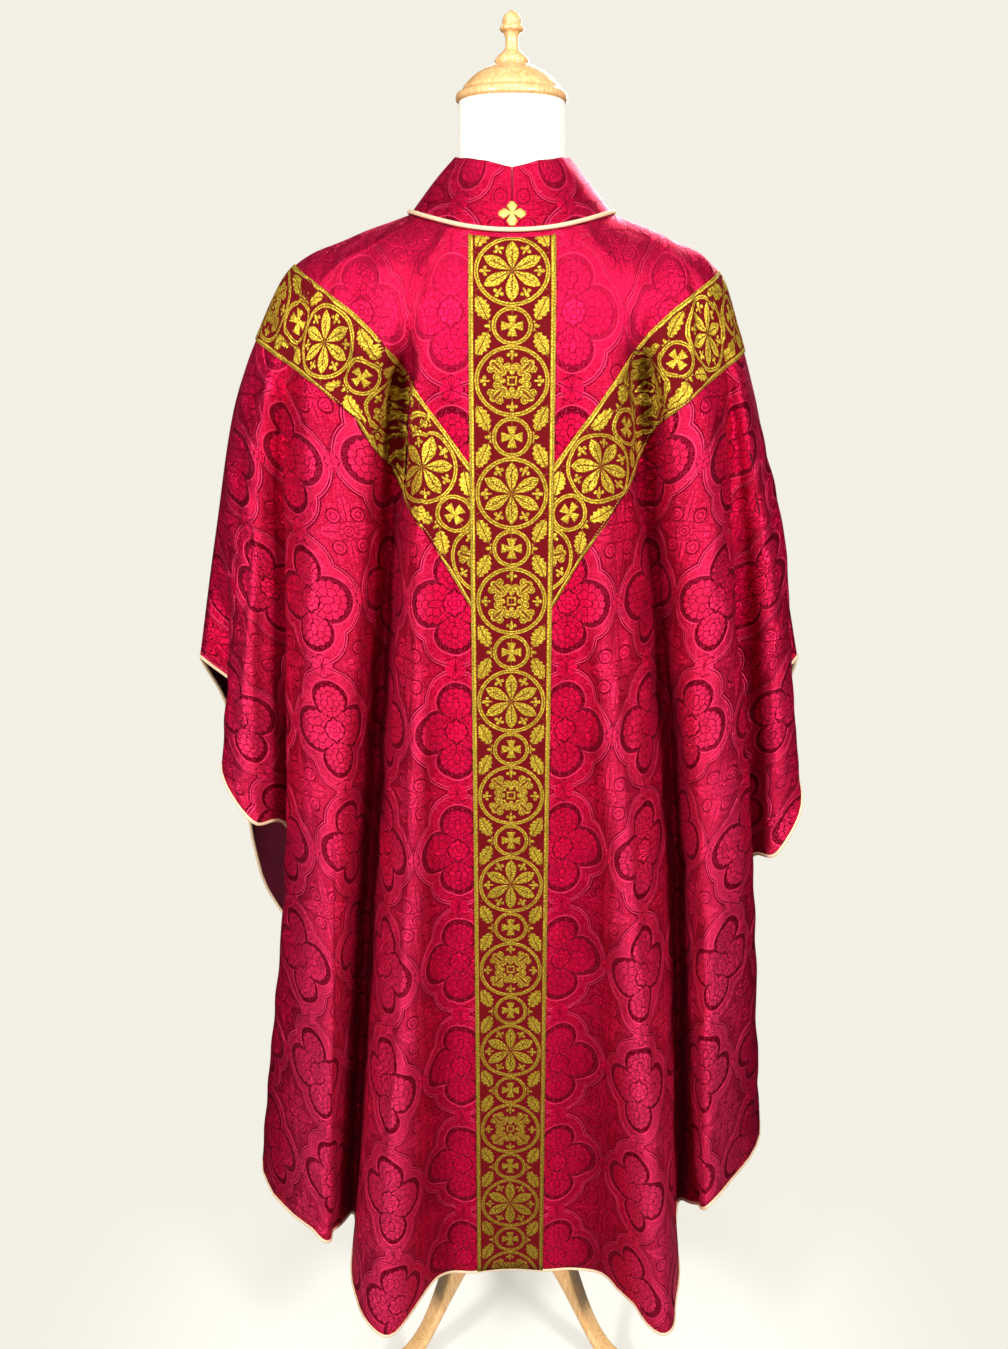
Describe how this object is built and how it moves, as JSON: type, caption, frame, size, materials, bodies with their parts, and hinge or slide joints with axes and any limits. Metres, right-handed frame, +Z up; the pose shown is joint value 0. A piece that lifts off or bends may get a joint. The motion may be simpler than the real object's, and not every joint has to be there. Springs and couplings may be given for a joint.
{
  "type": "gothic chasuble on a dress form",
  "caption": "Full-cut gothic chasuble with a stand-up collar, deep hanging folds and Y-shaped galloon orphreys, hung on a limbless dress form with a turned wooden stand.",
  "frame": {"origin": "on the floor, under the centre of the object's box; the pole stands 9 mm towards +X of it", "axes": "+Z up; the wearer's back faces -Y and the wearer's right is +X"},
  "size_m": [0.7318, 0.4186, 1.7105],
  "materials": {
    "damask": "crimson tone-on-tone damask, satin figure on a duller ground",
    "galloon": "woven band of gold figures on dark red",
    "piping": "cream corded satin",
    "linen": "plain off-white linen cover",
    "wood": "light turned wood, satin varnish"
  },
  "bodies": {
    "root": {"back_panel": "damask", "front_panel": "damask", "back_pillar": "galloon", "front_pillar": "galloon", "back_arm_left": "galloon", "back_arm_right": "galloon", "front_arm_left": "galloon", "front_arm_right": "galloon", "collar_left": "damask", "collar_right": "damask", "collar_cross": "galloon", "neck_piping": "piping", "hem_binding": "piping", "form_torso": "linen", "neck_cap": "wood", "finial": "wood", "pole": "wood", "hub": "wood", "leg_front": "wood", "leg_back_left": "wood", "leg_back_right": "wood"}
  },
  "joints": []
}
